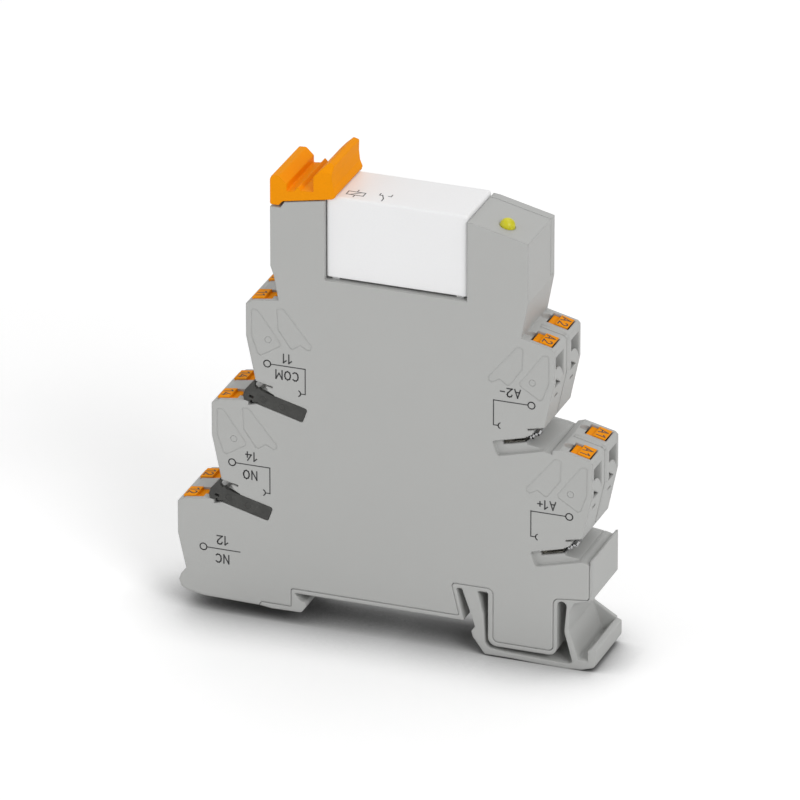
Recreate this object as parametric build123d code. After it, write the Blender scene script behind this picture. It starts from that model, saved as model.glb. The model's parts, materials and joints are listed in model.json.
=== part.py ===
from build123d import *
import math
import os
from dataclasses import dataclass

# A 14 mm wide relay module that snaps on a 35 mm top-hat rail.
# X runs along the module, from the contact terminals to the coil terminals.
# Y is the module's width, with the printed side at -Y, and Z points away from the rail.
# The origin is the middle of the rail's seat. Sizes are in millimetres.

# Driving sizes of the housing
WIDTH = 14.0
NEAR = -WIDTH / 2
FAR = WIDTH / 2
WALL = 0.8
SEAM_GAP = 0.1
FIT = 0.15
REAR_RIM_DEPTH = 2.0

# Terminals: five of them, each with two connection points side by side
POINT_PITCH = 8.3
POINT_WIDTH = 4.2
CONTACT_STEP = (6.75, 20.7)
COIL_STEP = (7.35, 20.8)
CONTACT_BASE = (39.85, 14.9)
COIL_BASE = (39.85, 34.9)
TOP_RUN = 6.3
CONTACT_TOP_RISE = (0.8, 1.5)
COIL_TOP_RISE = (0.5, 1.9)
CORNER_RUN = (1.4, 0.5)
END_FACE = 6.3
UNDERCUT = 1.8
BLOCK_DROP = 14.9
SHELF = 9.0

# Tower and the relay in it
TOWER_LEFT = -21.6
TOWER_RIGHT = 27.45
TOWER_WAIST = 64.4
SOCKET_FLOOR = 63.15
RELAY_LENGTH = 26.85
RELAY_WIDTH = 12.7
RELAY_HEIGHT = 15.7
RELAY_LEFT = -11.1
RELAY_FOOT = SOCKET_FLOOR + 0.3
RELAY_TOP = RELAY_FOOT + 0.3 + RELAY_HEIGHT
LEFT_ARM_TOP = RELAY_TOP - 0.85
LEFT_ARM_END = LEFT_ARM_TOP - 1.4
BARREL_SHELF = LEFT_ARM_TOP - 2.55
RIGHT_ARM_TOP = RELAY_TOP - 0.95
RIGHT_ARM_END = RIGHT_ARM_TOP - 2.5
RELAY_WALL = 0.6
RELAY_PLAY = 0.15
PIN_THICKNESS = 0.5
PIN_WIDTH = 1.0
PIN_LENGTH = 5.0
PIN_PITCH_Y = 7.5
RELAY_RIGHT = RELAY_LEFT + RELAY_LENGTH
COIL_X = RELAY_RIGHT - 7.15
COIL_PIN_X = RELAY_RIGHT - 3.15
CONTACT_X = RELAY_LEFT + 6.1
CONTACT_PIN_X = {"nc": RELAY_LEFT + 2.8, "no": RELAY_LEFT + 7.8, "com": COIL_X - 6.9}

# Retaining bracket
BARREL_RADIUS = 1.0
BARREL_RISE = 1.45
JOURNAL_RADIUS = 0.5
JOURNAL_FIT = 0.05
LUG_Y = 3.6
LUG_THICKNESS = 1.6

# Rail foot
RAIL_SEAT = 0.0
HOOK_X = -17.1
FOOT_BOTTOM = -6.4
SEAM_STRIP = 0.75

# Push buttons
BUTTON_SLOPE = 55.0
BUTTON_TRAVEL = 1.5
BUTTON_LENGTH = 3.9
BUTTON_HEAD = 2.4
BUTTON_STEM = 1.1
STEM_END = 7.4
STEM_HALF = 1.2

# Bridge slots and their covers
RECESS_DEPTH = 0.9

# Metal strips and the board
STRIP = 0.7
LEAF = 0.3
LEAF_HALF = 1.1
BOARD_THICKNESS = 1.2
BOARD_Y = 3.0
STRIP_Y = {"12": 2.4, "14": 0.0, "11": -2.4}
FORK_ROOT = 53.5
LAMP_X = 22.15
LAMP_Y = -3.15
LAMP_RADIUS = 1.4
LAMP_FOOT = TOWER_WAIST + 3.8


@dataclass(frozen=True)
class Terminal:
    """One terminal block: side is -1 at the contact end and +1 at the coil end."""

    name: str
    side: int
    end: float
    top: float

    def at(self, inward, down):
        """Point of the XZ plane, measured inwards and down from the block's top corner."""
        return (self.side * (self.end - inward), self.top - down)

    def shape(self, points):
        """Face in the XZ plane through points given inwards and down."""
        return polygon([self.at(*p) for p in points])


def terminals():
    """The five blocks, from the lowest on each side upwards."""
    blocks = []
    for i, name in enumerate(("12", "14", "11")):
        blocks.append(Terminal(name, -1, CONTACT_BASE[0] - i * CONTACT_STEP[0],
                               CONTACT_BASE[1] + i * CONTACT_STEP[1]))
    for i, name in enumerate(("a1", "a2")):
        blocks.append(Terminal(name, 1, COIL_BASE[0] - i * COIL_STEP[0],
                               COIL_BASE[1] + i * COIL_STEP[1]))
    return {b.name: b for b in blocks}


TERMINALS = terminals()
POINTS = {"near": -POINT_PITCH / 2, "far": POINT_PITCH / 2}


def polygon(points, radii=None):
    """Face through corners, each rounded by its radius where radii are given."""
    if radii is None:
        return make_face(Polyline(*points, close=True))
    return make_face(FilletPolyline(*points, radius=radii, close=True))


def rounded(corners):
    """Face through (x, z, radius) corners."""
    return polygon([c[:2] for c in corners], [c[2] for c in corners])


def slab(face, y_near, y_far):
    """Solid with the XZ section `face` between two Y planes."""
    return extrude(Plane.XZ.offset(-y_far) * face, amount=y_far - y_near, dir=(0, -1, 0))


def block(x0, x1, y0, y1, z0, z1):
    """Box between two corners."""
    return Pos((x0 + x1) / 2, (y0 + y1) / 2, (z0 + z1) / 2) * Box(x1 - x0, y1 - y0, z1 - z0)


def rod(x, z, radius, y_near, y_far):
    """Round bar along Y."""
    return slab(Pos(x, z) * Circle(radius), y_near, y_far)


def strip(points, width, y_near, y_far):
    """Bent strip that follows a path in XZ, with its width in that plane."""
    return slab(trace(Polyline(*points), width), y_near, y_far)


def mirror_pair(solid):
    """A solid and its image across the module's middle plane."""
    return solid + mirror(solid, about=Plane.XZ)


# Outline of the module

def top_rise(terminal):
    return CONTACT_TOP_RISE if terminal.side < 0 else COIL_TOP_RISE


def top_at(terminal, inward):
    """Height of the sloped top above the corner, measured down, so it is negative."""
    low, high = top_rise(terminal)
    run = CORNER_RUN[0] if terminal.side < 0 else CORNER_RUN[1]
    return -low - (high - low) * (inward - run) / (TOP_RUN - run)


def block_outline(terminal, shelf=True):
    """Corners of one block from the inner end of its top to the corner under its slope."""
    run = CORNER_RUN[0] if terminal.side < 0 else CORNER_RUN[1]
    low, high = top_rise(terminal)
    local = [(TOP_RUN, -high), (run, -low), (0, 0), (0, END_FACE), (UNDERCUT, BLOCK_DROP)]
    if shelf:
        local.insert(0, (SHELF, -1.0))
    return [terminal.at(*p) for p in local]


WINDOW = (RELAY_LEFT - RELAY_PLAY, RELAY_RIGHT + RELAY_PLAY)
BARREL = (TOWER_LEFT + BARREL_RADIUS, BARREL_SHELF + BARREL_RISE)
FOOT_HIP = 6.3
FOOT_X = (13.1, 21.0, 32.6, 39.45)
BULGE_BOTTOM = -3.4
RIM_BOTTOM = -2.85
SHOULDER_TOP = 15.9


def seam_corners():
    """Line where the two housing halves meet on the printed side, with corner radii."""
    rail_edge = HOOK_X - SEAM_STRIP
    seat = RAIL_SEAT + SEAM_STRIP
    leg, bulge_left, bulge_right, shoulder = FOOT_X
    hip = FOOT_HIP + SEAM_STRIP
    return [(-24.0, -3.5, 0), (-23.7, RIM_BOTTOM, 0.25), (rail_edge, RIM_BOTTOM, 0.3),
            (rail_edge, seat, 0.4), (leg + 1.5, seat, 0.4), (leg, hip, 0.5),
            (bulge_left, hip, 1.1), (bulge_left, BULGE_BOTTOM, 1.0),
            (bulge_right, BULGE_BOTTOM, 1.0), (bulge_right, hip, 1.1),
            (shoulder - 0.4, hip + 0.7, 0.3), (shoulder, hip + 1.2, 0.3), (shoulder, SHOULDER_TOP - 0.1, 0)]


def upper_corners():
    """Outline of the module from the shoulder over the tower to the lower left end."""
    t = TERMINALS
    left_waist = (TOWER_LEFT + 0.65, TOWER_WAIST - 1.8)
    tower = [(TOWER_RIGHT, TOWER_WAIST), (TOWER_RIGHT, RIGHT_ARM_END),
             (WINDOW[1] + 1.1, RIGHT_ARM_TOP), (WINDOW[1], RIGHT_ARM_TOP + 0.1),
             (WINDOW[1], SOCKET_FLOOR), (WINDOW[0], SOCKET_FLOOR), (WINDOW[0], LEFT_ARM_TOP),
             (TOWER_LEFT + 2.7, LEFT_ARM_END), (TOWER_LEFT + 1.95, BARREL_SHELF),
             (TOWER_LEFT, BARREL_SHELF), (TOWER_LEFT, TOWER_WAIST), left_waist]
    right = block_outline(t["a2"], shelf=False)[::-1]
    right = block_outline(t["a1"])[::-1] + right
    left = block_outline(t["11"], shelf=False) + block_outline(t["14"]) + block_outline(t["12"])[:-1]
    chin = [(-38.3, 1.6), (-39.3, 0.4), (-39.7, -0.8), (-39.3, -2.0), (-38.3, -2.7), (-34.9, -3.3)]
    return right + tower + left + chin


def front_face():
    """Section of the front half: everything above and inside the seam."""
    seam = seam_corners()
    rest = [(x, z, 0) for x, z in [(37.2, 15.2)] + upper_corners()]
    return rounded(seam + rest)


def foot_face():
    """Section of the strip that carries the rail hooks, the spring foot and the release tab."""
    seam = seam_corners()
    tab_floor, tab_wall = -4.3, 39.2
    outside = [(39.95, SHOULDER_TOP, 0), (39.95, 7.8, 0.3), (36.6, 6.8, 0.5), (35.75, 5.2, 0),
               (35.6, 1.2, 1.0), (37.4, tab_floor, 0), (tab_wall, tab_floor, 0),
               (tab_wall, -2.3, 0), (39.8, -1.7, 0), (40.8, -2.0, 0.3), (40.8, -5.3, 1.2),
               (38.0, -6.2, 1.0), (35.3, FOOT_BOTTOM, 0), (29.2, -6.3, 0), (24.4, -6.1, 0),
               (19.5, -6.1, 0.5), (17.2, -3.0, 0), (16.9, -1.9, 0.1), (17.6, -1.0, 0.1),
               (17.4, -0.2, 0), (15.1, FOOT_HIP, 0.45), (13.95, FOOT_HIP, 0.45),
               (15.4, RAIL_SEAT, 0), (HOOK_X, RAIL_SEAT, 0), (HOOK_X, -0.25, 0.1),
               (-16.2, -1.35, 0.3), (-15.2, -1.6, 0.2), (-15.0, -2.4, 0.3), (-15.9, -3.7, 0.8),
               (-21.6, -3.8, 0)]
    strip_face = rounded(seam + outside)
    return strip_face - foot_slot()


def foot_slot():
    """U-shaped gap round the bulge, which lets the foot spring aside on the rail's edge."""
    leg, bulge_left, bulge_right, shoulder = FOOT_X
    return rounded([(18.0, FOOT_HIP, 0.4), (bulge_left - 0.9, FOOT_HIP, 0.4),
                    (bulge_left - 0.9, -4.2, 1.7), (bulge_right + 0.7, -4.2, 1.7),
                    (bulge_right + 0.7, FOOT_HIP + 0.5, 0.9), (35.2, FOOT_HIP + 0.5, 0.9),
                    (34.7, 0.9, 2.0), (36.3, -5.0, 0.4), (35.6, -5.4, 0), (23.2, -5.05, 0),
                    (19.6, -4.7, 1.4), (19.2, 1.6, 2.0)])


# Features of one terminal block

def slide_dir():
    """Inward and downward parts of the button's travel."""
    a = math.radians(BUTTON_SLOPE)
    return math.cos(a), math.sin(a)


def along(point, distance, aside=0.0):
    """Point moved along the button's travel and aside from it, towards the end face."""
    u, w = slide_dir()
    return (point[0] + u * distance - w * aside, point[1] + w * distance + u * aside)


STEM_TOP = (3.9, 0.9)
HEAD_FACE = 0.8
CHAMBER_TOP = 7.9
CHAMBER_BOTTOM = 13.3
CHAMBER_OUT = 3.4


def button_sections(terminal):
    """Head and stem of a push button in the block's own inward and downward sizes."""
    outer, notch, inner = HEAD_FACE, 3.2, HEAD_FACE + BUTTON_LENGTH
    label = [(u, top_at(terminal, u) - 0.2) for u in (outer, notch)]
    step = [(notch + 0.05, label[1][1] + 0.6), (inner, top_at(terminal, inner) + 0.4)]
    half = BUTTON_STEM / 2
    head = label + step + [along(step[1], 2.0), along(STEM_TOP, 3.2, -half), along(STEM_TOP, 2.4, half),
                           along(label[0], BUTTON_HEAD)]
    stem = [along(STEM_TOP, 2.0, -half), along(STEM_TOP, STEM_END, -half), along(STEM_TOP, STEM_END, half),
            along(STEM_TOP, 2.0, half)]
    return head, stem


def button_well(terminal):
    """Opening in the top of the block that the button slides in."""
    half = BUTTON_STEM / 2 + FIT
    outer, inner = HEAD_FACE - FIT, HEAD_FACE + BUTTON_LENGTH + 0.25
    top_out, top_in = top_at(terminal, outer), top_at(terminal, inner) + 0.3
    reach = BUTTON_TRAVEL + FIT
    throat = along(STEM_TOP, 10.5)
    return [along((outer, top_out), -1.5), along((inner, top_in), -1.8), along((inner, top_in), 2.4 + reach),
            along(STEM_TOP, 3.2 + reach, -half), along(throat, 0, -half), along(throat, 0, half),
            along(STEM_TOP, 2.4 + reach, half), along((outer, top_out), BUTTON_HEAD + reach)]


def funnel_section():
    """Wire entry: it starts in the end face and leads down to the clamp."""
    return [(-0.2, 1.1), (1.3, 2.3), (2.2, 3.9), (4.6, 7.5), (4.6, 8.2), (3.4, 8.2), (0.6, 3.9), (-0.2, 3.4)]


def end_cut(terminal, corners, depth):
    """Cut in the end face with a YZ section, straight inwards."""
    face = make_face(Polyline(*[(y, terminal.top - w) for y, w in corners], close=True))
    start = terminal.side * (terminal.end + 0.3)
    plane = Plane(origin=(start, 0, 0), x_dir=(0, 1, 0), z_dir=(1, 0, 0))
    return extrude(plane * face, amount=depth + 0.3, dir=(-terminal.side, 0, 0))


OUTER_MARK = [(1.0, 1.2), (1.3, 0.9), (2.0, 0.9), (2.5, 1.3), (6.6, 6.9), (6.5, 7.6), (2.8, 9.9), (2.2, 9.6),
              (1.0, 6.2)]
INNER_MARK = [(5.9, 0.4), (6.2, 0.1), (6.8, 0.0), (7.3, 0.2), (12.6, 6.6), (12.5, 7.3), (11.9, 7.6),
              (10.4, 6.8), (9.0, 7.8), (8.5, 7.7), (6.1, 4.3)]
MARK_DEPTH = 0.12


def moulding_marks(terminal):
    """Two shallow fields on the printed side."""
    fields = (OUTER_MARK, INNER_MARK)
    return [slab(terminal.shape(corners), NEAR - 1, NEAR + MARK_DEPTH) for corners in fields]


def terminal_cuts(terminal):
    """Everything that is open at one terminal: two wells, funnels, test slots and dishes."""
    half = POINT_WIDTH / 2
    cuts = []
    for y in POINTS.values():
        y0, y1 = y - half, y + half
        cuts.append(slab(terminal.shape(button_well(terminal)), y0 + 0.05, y1 - 0.05))
        cuts.append(slab(terminal.shape(funnel_section()), y0, y1))
        lip = [(y0, 3.2), (y1, 3.2), (y1, 6.5), (y1 - 0.3, 5.7), (y1 - 0.9, 4.8), (y1 - 1.8, 4.0),
               (y1 - 2.9, 3.5), (y0, 3.3)]
        cuts.append(end_cut(terminal, lip, 1.7))
        cuts.append(end_cut(terminal, [(y0, 5.4), (y0, 7.2), (y1 - 1.2, 7.2)], 1.4))
        cuts.append(end_cut(terminal, [(y - 0.9, 9.2), (y - 0.9, 9.7), (y + 0.9, 9.7), (y + 0.6, 9.2)], 1.2))
        x, z = terminal.at(5.4, top_at(terminal, 5.4))
        cuts.append(Pos(x, y, z) * Cylinder(0.95, 1.6))
    if terminal.name != "12":
        cuts += moulding_marks(terminal)
    chamber = [(CHAMBER_OUT, CHAMBER_TOP), (24.0 if terminal.name == "12" else 19.0, CHAMBER_TOP),
               (24.0 if terminal.name == "12" else 19.0, CHAMBER_BOTTOM), (CHAMBER_OUT, CHAMBER_BOTTOM)]
    cuts.append(slab(terminal.shape(chamber), NEAR + WALL, FAR))
    return cuts


# Features of one bridge slot, in sizes inwards and down from the corner under the slope

def bridge_at(terminal, inward, down):
    corner = terminal.at(UNDERCUT, BLOCK_DROP)
    return (corner[0] - terminal.side * inward, corner[1] - down)


def bridge_shape(terminal, points):
    return polygon([bridge_at(terminal, *p) for p in points])


def recess_shape(terminal):
    return rounded([(*bridge_at(terminal, u, w), r) for u, w, r in RECESS])


RECESS = [(0.75, 1.9, 0), (10.0, 4.3, 0.5), (9.0, 7.1, 0.5), (0.2, 4.75, 0)]
TROUGH = [(-1.5, -0.2), (0.6, 0.35), (1.9, 0.8), (2.4, 1.9), (3.6, 2.5), (3.6, 4.3), (2.2, 4.5), (0.2, 4.75),
          (-1.5, 5.2)]
SLIT = [(-0.6, 0.0), (3.3, 0.85), (3.2, 1.2), (-0.6, 0.35)]
SLOT = [(3.4, 2.75), (8.3, 4.15), (8.1, 5.0), (3.4, 3.85)]
POCKET = [(3.9, 2.0), (8.9, 3.3), (16.5, 3.3), (16.5, 5.6), (8.3, 5.6), (3.9, 4.6)]


def bridge_cuts(terminal):
    """Recess for the cover, open trough, and the pocket that holds the bridge contact."""
    return [slab(recess_shape(terminal), NEAR - 1, NEAR + RECESS_DEPTH),
            slab(bridge_shape(terminal, TROUGH), NEAR - 1, FAR + 1),
            slab(bridge_shape(terminal, SLIT), NEAR - 1, FAR + 1),
            slab(bridge_shape(terminal, SLOT), NEAR - 1, FAR - WALL),
            slab(bridge_shape(terminal, POCKET), NEAR + RECESS_DEPTH + 0.6, FAR)]


BRIDGED = ("14", "11", "a1", "a2")


def bridge_cuts_all():
    return [cut for name in BRIDGED for cut in bridge_cuts(TERMINALS[name])]


# Housing

def inner_cavity():
    """Room for the strips, the board and the socket contacts."""
    core = polygon([(-16.0, 1.9), (12.0, 1.9), (12.0, 8.3), (22.0, 8.3), (22.0, 31.0), (20.0, 31.0),
                    (20.0, 60.3), (-16.0, 60.3)])
    left_arm = polygon([(TOWER_LEFT + WALL, TOWER_WAIST + 1.6), (WINDOW[0] - WALL, TOWER_WAIST + 1.6),
                        (WINDOW[0] - WALL, LEFT_ARM_TOP - 1.3), (TOWER_LEFT + 3.3, LEFT_ARM_END - 1.0),
                        (TOWER_LEFT + 2.6, BARREL_SHELF - 1.0), (TOWER_LEFT + WALL, BARREL_SHELF - 1.0)])
    right_arm = polygon([(WINDOW[1] + WALL, 58.0), (TOWER_RIGHT - 2.0, 58.0), (TOWER_RIGHT - 1.0, 65.0),
                         (TOWER_RIGHT - WALL - 0.2, RIGHT_ARM_END - 1.4),
                         (WINDOW[1] + WALL, RIGHT_ARM_TOP - 1.0)])
    return core + left_arm + right_arm


def socket_slots():
    """Pin slots in the socket floor, with the pockets that hold the contact springs."""
    cuts = []
    for x in list(CONTACT_PIN_X.values()) + [COIL_PIN_X]:
        for y in (-PIN_PITCH_Y / 2, PIN_PITCH_Y / 2):
            cuts.append(block(x - 0.5, x + 0.5, y - 0.9, y + 0.9, 59.0, SOCKET_FLOOR + 1))
    return cuts


def snap_window():
    """Opening in the top of the left arm for the bracket's catch."""
    x0 = WINDOW[0] - WALL - 3.2
    return block(x0, WINDOW[0] - WALL, -3.4, 3.4, LEFT_ARM_TOP - 4, LEFT_ARM_TOP + 1)


def bracket_lugs():
    """Two lugs on the left arm, with the stub journals that the bracket turns on."""
    x, z = BARREL
    neck = polygon([(x - 0.6, BARREL_SHELF - 0.5), (x + 0.6, BARREL_SHELF - 0.5), (x + 0.6, z), (x - 0.6, z)])
    y0, y1 = LUG_Y - LUG_THICKNESS / 2, LUG_Y + LUG_THICKNESS / 2
    lug = slab(neck + Pos(x, z) * Circle(0.75), y0, y1) + rod(x, z, JOURNAL_RADIUS, y1, y1 + 1.2)
    return mirror_pair(lug)


def rear_rim():
    """Section of the tower's rim that belongs to the rear half."""
    tower = polygon([(TOWER_LEFT - 5, TOWER_WAIST + 0.6), (TOWER_RIGHT + 5, TOWER_WAIST + 0.6),
                     (TOWER_RIGHT + 5, RELAY_TOP + 9), (TOWER_LEFT - 5, RELAY_TOP + 9)])
    front = front_face()
    return (front & tower) - offset(front, amount=-WALL)


def front_housing():
    """Deep half: the printed side, the terminals, the tower and the socket."""
    body = slab(front_face(), NEAR, FAR - WALL)
    body -= slab(inner_cavity(), NEAR + WALL, FAR)
    for name in TERMINALS:
        for cut in terminal_cuts(TERMINALS[name]):
            body -= cut
    for cut in bridge_cuts_all() + socket_slots():
        body -= cut
    body -= slab(offset(foot_face(), amount=SEAM_GAP), NEAR - 1, FAR)
    body -= slab(rear_rim(), FAR - REAR_RIM_DEPTH, FAR)
    body -= snap_window()
    body -= Pos(LAMP_X, LAMP_Y, RIGHT_ARM_TOP) * Cylinder(LAMP_RADIUS + 0.05, 12)
    return body + bracket_lugs()


def rear_housing():
    """Flat half: the far side, with the rail hooks, the spring foot and the release tab."""
    plate = slab(front_face() + foot_face(), FAR - WALL, FAR)
    web = polygon([(35.5, 1.35), (39.95, -1.35), (39.95, -4.6), (37.2, -4.6), (35.5, 0.0)])
    body = plate + slab(foot_face(), NEAR, FAR) + slab(web, FAR - WALL, FAR)
    body += slab(rear_rim(), FAR - REAR_RIM_DEPTH + SEAM_GAP, FAR)
    for name in BRIDGED:
        terminal = TERMINALS[name]
        body -= slab(bridge_shape(terminal, TROUGH), NEAR - 1, FAR + 1)
        body -= slab(bridge_shape(terminal, SLIT), NEAR - 1, FAR + 1)
    return body


def slot_cover(terminal):
    """Dark partition that closes a bridge slot: a plate with a hooked mouth."""
    plate = slab(offset(recess_shape(terminal), amount=-0.1), NEAR, NEAR + RECESS_DEPTH - 0.05)
    mouth = bridge_shape(terminal, [(-2.3, 4.3), (-2.45, 3.3), (-2.1, 2.2), (-0.4, 0.3), (-0.15, 0.5),
                                    (-0.25, 1.3), (0.15, 1.75), (0.55, 1.6), (1.0, 2.0), (1.5, 2.1),
                                    (3.3, 2.85), (3.3, 4.05), (1.9, 4.25), (-0.6, 4.45), (-0.9, 4.0),
                                    (-1.3, 4.4)])
    hollow = bridge_shape(terminal, [(-1.5, 2.4), (-0.6, 1.5), (0.0, 2.6), (1.6, 3.1), (-1.0, 3.5)])
    window = bridge_shape(terminal, [(-1.4, 3.6), (-1.2, 3.1), (-0.4, 3.3), (-0.5, 3.8)])
    body = plate + slab(mouth, NEAR, NEAR + 3.6)
    body -= slab(hollow, NEAR + 0.8, NEAR + 4)
    body -= slab(window, NEAR - 1, NEAR + 4)
    for u, w in ((1.4, 3.6), (5.1, 4.6)):
        body -= slab(Pos(*bridge_at(terminal, u, w)) * Circle(0.65), NEAR - 1, NEAR + 0.1)
    return body


# Inside each terminal

def clamp_spring(terminal, y):
    """Leaf spring bent back on itself; its free leg presses the wire on the busbar."""
    path = [terminal.at(*p) for p in ((4.4, 13.0), (12.6, 13.0), (12.6, 11.0), (8.3, 7.9))]
    return strip(path, LEAF, y - LEAF_HALF, y + LEAF_HALF)


def busbar(terminal, web_y, route):
    """Clamp plate across both points, a flat strip up to the socket and the bridge contact."""
    plate = [(6.9, CHAMBER_TOP + 0.1), (11.4, CHAMBER_TOP + 0.1), (11.4, CHAMBER_TOP + 0.8),
             (6.9, CHAMBER_TOP + 0.8)]
    stem_gap = [(6.0, CHAMBER_TOP - 1), (9.9, CHAMBER_TOP - 1), (9.9, CHAMBER_TOP + 2),
                (6.0, CHAMBER_TOP + 2)]
    solid = slab(terminal.shape(plate), NEAR + WALL + 0.3, FAR - WALL - 0.3)
    for y in POINTS.values():
        solid -= slab(terminal.shape(stem_gap), y - 1.5, y + 1.5)
    start = terminal.at(10.6, CHAMBER_TOP + 1.2)
    solid += strip([start] + route, 1.8, web_y - STRIP / 2, web_y + STRIP / 2)
    return solid


def bridge_contact(terminal, web_y):
    """Two leaves in the bridge slot and the strip that joins them to the busbar."""
    leaves = [(4.3, 2.45), (8.6, 3.6), (8.6, 3.95), (4.3, 2.8)]
    lower = [(4.3, 3.95), (8.6, 5.1), (8.6, 5.45), (4.3, 4.3)]
    back = [(8.3, 3.45), (8.7, 3.5), (8.7, 5.5), (8.3, 5.4)]
    y0, y1 = NEAR + RECESS_DEPTH + 0.8, FAR - WALL - 0.4
    solid = slab(bridge_shape(terminal, leaves), y0, y1) + slab(bridge_shape(terminal, lower), y0, y1)
    solid += slab(bridge_shape(terminal, back), y0, y1)
    turn = 14.5 if terminal.name == "a2" else 17.5
    route = [bridge_at(terminal, *p) for p in ((8.5, 4.5), (turn, 4.5), (turn, -5.8))]
    return solid + strip(route, 1.4, web_y - STRIP / 2, web_y + STRIP / 2)


def socket_contact(x, root, web_y):
    """Fork that grips both pins of one relay contact."""
    solid = block(x - 0.9, x + 0.9, -4.6, 4.6, 55.2, 55.7)
    for y in (-PIN_PITCH_Y / 2, PIN_PITCH_Y / 2):
        for side in (-1, 1):
            inner = PIN_THICKNESS / 2 + 0.03
            x0, x1 = sorted((x + side * inner, x + side * (inner + 0.3)))
            solid += block(x0, x1, y - 0.8, y + 0.8, 55.5, 59.9)
    return solid + strip(root, 1.4, web_y - STRIP / 2, web_y + STRIP / 2)


def coil_socket_contact(y, tail_x):
    """Fork that grips one coil pin, with a tail soldered to the board."""
    x0, x1 = sorted((COIL_PIN_X, tail_x))
    solid = block(x0 - 0.9, x1 + 0.9, y - 0.85, y + 0.85, 55.2, 55.7)
    solid += block(tail_x - 0.7, tail_x + 0.7, min(y, BOARD_Y - STRIP), max(y, BOARD_Y), 55.2, 55.7)
    for side in (-1, 1):
        inner = PIN_THICKNESS / 2 + 0.03
        x0, x1 = sorted((COIL_PIN_X + side * inner, COIL_PIN_X + side * (inner + 0.3)))
        solid += block(x0, x1, y - 0.8, y + 0.8, 55.5, 59.9)
    return solid + strip([(tail_x, 55.4), (tail_x, 52.5)], 1.4, BOARD_Y - STRIP, BOARD_Y)


def push_button(terminal, y):
    """Orange release: label part, notch for a screwdriver and the stem that opens the clamp."""
    half = POINT_WIDTH / 2 - FIT
    head, stem = button_sections(terminal)
    label = slab(terminal.shape(head), y - half, y + half)
    return label + slab(terminal.shape(stem), y - STEM_HALF, y + STEM_HALF)


# Relay

def relay_cap():
    x0, x1 = RELAY_LEFT, RELAY_RIGHT
    half = RELAY_WIDTH / 2
    z0, z1 = RELAY_FOOT + 0.3, RELAY_TOP
    outer = block(x0, x1, -half, half, z0, z1)
    outer = fillet(outer.edges().filter_by(Axis.Z) + outer.edges().group_by(Axis.Z)[-1], 0.5)
    inner = block(x0 + RELAY_WALL, x1 - RELAY_WALL, -half + RELAY_WALL, half - RELAY_WALL,
                  z0 - 1, z1 - RELAY_WALL)
    return outer - inner


def relay_pin(x, y, top):
    """Blade that leaves the base and enters the socket."""
    return block(x - PIN_THICKNESS / 2, x + PIN_THICKNESS / 2, y - PIN_WIDTH / 2, y + PIN_WIDTH / 2,
                 RELAY_FOOT - PIN_LENGTH + 0.6, top)


BASE_TOP = RELAY_FOOT + 1.7
COIL_FLANGE = 10.2
YOKE_X = RELAY_RIGHT - RELAY_WALL - 0.7
YOKE_END = COIL_X - 5.4
ARMATURE_Z = RELAY_TOP - 2.55


def relay_terminals():
    """Fixed contacts and coil pins, each with its blades."""
    pitch = PIN_PITCH_Y / 2
    pins = {}
    x = CONTACT_PIN_X["nc"]
    nc = block(x - 0.25, x + 0.25, -4.2, 4.2, BASE_TOP, BASE_TOP + 0.6)
    nc += block(x - 0.25, x + 0.25, -2.0, 2.0, BASE_TOP, RELAY_TOP - 0.95)
    nc += block(x - 0.25, CONTACT_X + 1.2, -2.0, 2.0, RELAY_TOP - 1.35, RELAY_TOP - 0.95)
    nc += Pos(CONTACT_X, 0, RELAY_TOP - 1.6) * Cylinder(1.3, 0.5)
    pins["nc"] = nc
    x = CONTACT_PIN_X["no"]
    no = block(x - 0.25, x + 0.25, -4.2, 4.2, BASE_TOP, BASE_TOP + 0.6)
    no += block(x - 0.25, x + 0.25, -2.0, 2.0, BASE_TOP, ARMATURE_Z - 2.0)
    no += block(CONTACT_X - 1.2, x + 0.25, -2.0, 2.0, ARMATURE_Z - 2.4, ARMATURE_Z - 2.0)
    no += Pos(CONTACT_X, 0, ARMATURE_Z - 1.68) * Cylinder(1.3, 0.7)
    pins["no"] = no
    x = CONTACT_PIN_X["com"]
    pins["com"] = block(x - 0.25, x + 0.25, -4.2, 4.2, BASE_TOP, BASE_TOP + 0.6)
    pins["com"] += block(x - 0.25, YOKE_END, -2.0, 2.0, BASE_TOP, BASE_TOP + 0.4)
    for key, x in CONTACT_PIN_X.items():
        for y in (-pitch, pitch):
            pins[key] += relay_pin(x, y, BASE_TOP + 0.3)
    for key, y in (("coil_a", -pitch), ("coil_b", pitch)):
        pins[key] = relay_pin(COIL_PIN_X, y, BASE_TOP + 0.35)
    return pins


def relay_base(pins):
    half = RELAY_WIDTH / 2 - RELAY_WALL - 0.03
    plate = block(RELAY_LEFT + RELAY_WALL + 0.03, RELAY_RIGHT - RELAY_WALL - 0.03, -half, half,
                  RELAY_FOOT, BASE_TOP)
    for x in (RELAY_LEFT + 1.6, RELAY_RIGHT - 1.6):
        plate += block(x - 0.7, x + 0.7, -half, half, SOCKET_FLOOR, RELAY_FOOT)
    for pin in pins.values():
        plate -= pin
    return plate


def relay_yoke():
    yoke = block(YOKE_END, YOKE_X + 0.7, -4.5, 4.5, BASE_TOP + 0.4, BASE_TOP + 1.5)
    yoke += block(YOKE_X - 0.3, YOKE_X + 0.7, -4.5, 4.5, BASE_TOP + 0.4, ARMATURE_Z - 0.1)
    for y in (-PIN_PITCH_Y / 2, PIN_PITCH_Y / 2):
        yoke -= block(COIL_PIN_X - 0.6, COIL_PIN_X + 0.6, y - 0.9, y + 0.9, BASE_TOP, BASE_TOP + 2)
    return yoke


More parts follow.
